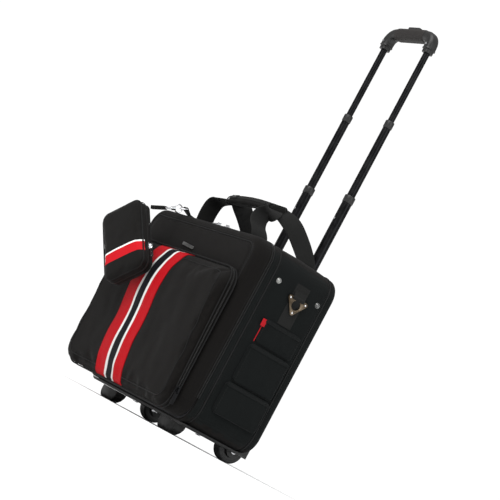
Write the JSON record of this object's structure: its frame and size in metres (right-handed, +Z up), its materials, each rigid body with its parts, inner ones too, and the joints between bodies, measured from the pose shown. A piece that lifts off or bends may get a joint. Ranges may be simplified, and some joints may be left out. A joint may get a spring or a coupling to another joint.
{
  "type": "pilot rolling flight case",
  "caption": "Soft upright flight case on two wheels, with a telescopic trolley handle, carry straps, a zipped front door, side pockets and a hanging pouch.",
  "frame": {"origin": "on the floor, in the middle of the case's outline", "axes": "+Z up, -Y the front with the striped ribbon, +X the wearer's right as the front is seen"},
  "size_m": [0.432, 0.32, 0.889],
  "materials": {
    "black_nylon": "fine matte ballistic weave",
    "side_nylon": "coarser matte weave",
    "webbing": "ribbed webbing",
    "striped_webbing": "red, white and black woven stripes",
    "black_plastic": "moulded, fine grain",
    "grip_rubber": "textured soft grip",
    "button_plastic": "smooth",
    "black_tube": "black anodised, semi-gloss",
    "hidden_metal": "mill finish",
    "wheel_tyre": "smooth polyurethane",
    "wheel_hub": "moulded",
    "bright_metal": "polished nickel",
    "antique_metal": "antique nickel, worn edges",
    "steel": "turned"
  },
  "bodies": {
    "case": {"base_panel": "black_nylon", "chassis_plate": "black_plastic", "chassis_screws": "steel", "front_carry_strap": "webbing", "front_feet": "black_plastic", "handle_wrap": "webbing", "left_side_panel": "side_nylon", "left_wheel_housing": "black_plastic", "lower_side_pockets": "side_nylon", "middle_side_pockets": "side_nylon", "rear_carry_strap": "webbing", "rear_panel": "side_nylon", "right_side_panel": "side_nylon", "right_wheel_housing": "black_plastic", "ring_tabs": "webbing", "side_rivets": "bright_metal", "strap_patches": "webbing", "top_panel": "black_nylon", "trolley_back_cover": "side_nylon", "trolley_bezel": "black_plastic", "trolley_sleeves": "hidden_metal", "upper_side_pockets": "side_nylon", "wheel_axles": "steel"},
    "front_door": {"front_door": "black_nylon", "front_pocket": "black_nylon", "striped_ribbon": "striped_webbing", "front_tag": "bright_metal", "pouch_anchor": "webbing"},
    "lower_stage": {"lower_tubes": "black_tube", "lower_collars": "black_plastic", "lock_pins": "steel"},
    "middle_stage": {"middle_tubes": "black_tube", "middle_collars": "black_plastic"},
    "upper_stage": {"upper_tubes": "black_tube", "grip_frame": "black_plastic", "grip_rubber": "grip_rubber", "grip_screws": "steel"},
    "button": {"grip_button": "button_plastic"},
    "left_wheel": {"left_wheel_hub": "wheel_hub", "left_wheel_tyre": "wheel_tyre"},
    "right_wheel": {"right_wheel_hub": "wheel_hub", "right_wheel_tyre": "wheel_tyre"},
    "left_ring": {"left_d_ring": "antique_metal"},
    "right_ring": {"right_d_ring": "antique_metal"},
    "hook": {"pouch_ring": "bright_metal", "snap_hook": "bright_metal"},
    "pouch": {"swivel_eye": "bright_metal", "pouch_loop": "webbing", "pouch": "black_nylon"},
    "left_slider": {"left_zip_slider": "bright_metal"},
    "left_pull": {"left_zip_pull": "bright_metal"},
    "right_slider": {"right_zip_slider": "bright_metal"},
    "right_pull": {"right_zip_pull": "bright_metal"},
    "pocket_slider": {"pocket_zip_slider": "black_tube"},
    "pocket_pull": {"pocket_zip_pull": "black_tube"},
    "pouch_slider": {"pouch_zip_slider": "bright_metal"},
    "pouch_pull": {"pouch_zip_pull": "bright_metal"}
  },
  "joints": [
    {"name": "door_hinge", "type": "hinge", "parent": "case", "child": "front_door", "pos_m": [0, -0.066, 0.032], "axis": [1, 0, 0], "range_deg": [0, 55]},
    {"name": "lower_stage_slide", "type": "slide", "parent": "case", "child": "lower_stage", "axis": [0, 0, 1], "range_m": [-0.141, 0]},
    {"name": "middle_stage_slide", "type": "slide", "parent": "lower_stage", "child": "middle_stage", "axis": [0, 0, 1], "range_m": [-0.143, 0]},
    {"name": "upper_stage_slide", "type": "slide", "parent": "middle_stage", "child": "upper_stage", "axis": [0, 0, 1], "range_m": [-0.145, 0]},
    {"name": "grip_button_press", "type": "slide", "parent": "upper_stage", "child": "button", "axis": [0, 0, -1], "range_m": [0, 0.003], "stiffness_N_per_m": 1200, "springref_m": -0.001},
    {"name": "left_wheel_spin", "type": "hinge", "parent": "case", "child": "left_wheel", "pos_m": [-0.151, 0.114, 0.026], "axis": [1, 0, 0], "continuous": true},
    {"name": "right_wheel_spin", "type": "hinge", "parent": "case", "child": "right_wheel", "pos_m": [0.151, 0.114, 0.026], "axis": [1, 0, 0], "continuous": true},
    {"name": "left_ring_swing", "type": "hinge", "parent": "case", "child": "left_ring", "pos_m": [-0.2128, 0.059, 0.305], "axis": [0, 1, 0], "range_deg": [0, 150]},
    {"name": "right_ring_swing", "type": "hinge", "parent": "case", "child": "right_ring", "pos_m": [0.2128, 0.059, 0.305], "axis": [0, -1, 0], "range_deg": [0, 150]},
    {"name": "hook_swing", "type": "hinge", "parent": "front_door", "child": "hook", "pos_m": [-0.0975, -0.058, 0.376], "axis": [-1, 0, 0], "range_deg": [0, 45]},
    {"name": "hook_swivel", "type": "hinge", "parent": "hook", "child": "pouch", "pos_m": [-0.0975, -0.08321, 0.36381], "axis": [0, 0.9003, 0.4352], "range_deg": [-12, 12]},
    {"name": "left_slider_travel", "type": "slide", "parent": "front_door", "child": "left_slider", "axis": [-1, 0, 0], "range_m": [0, 0.06]},
    {"name": "right_slider_travel", "type": "slide", "parent": "front_door", "child": "right_slider", "axis": [1, 0, 0], "range_m": [0, 0.055]},
    {"name": "left_pull_swing", "type": "hinge", "parent": "left_slider", "child": "left_pull", "pos_m": [-0.014, -0.026, 0.3741], "axis": [0, 1, 0], "range_deg": [0, 120]},
    {"name": "right_pull_swing", "type": "hinge", "parent": "right_slider", "child": "right_pull", "pos_m": [0.018, -0.026, 0.3741], "axis": [0, -1, 0], "range_deg": [0, 120]},
    {"name": "pocket_slider_travel", "type": "slide", "parent": "front_door", "child": "pocket_slider", "axis": [0, 0, 1], "range_m": [0, 0.17]},
    {"name": "pocket_pull_swing", "type": "hinge", "parent": "pocket_slider", "child": "pocket_pull", "pos_m": [0.2121, -0.066, 0.07], "axis": [0, -1, 0], "range_deg": [0, 120]},
    {"name": "pouch_slider_travel", "type": "slide", "parent": "pouch", "child": "pouch_slider", "axis": [-0.6337, -0.1698, 0.7547], "range_m": [0, 0.045]},
    {"name": "pouch_pull_swing", "type": "hinge", "parent": "pouch_slider", "child": "pouch_pull", "pos_m": [-0.03803, -0.11314, 0.27842], "axis": [0.2588, -0.9659, 0], "range_deg": [0, 120]}
  ]
}
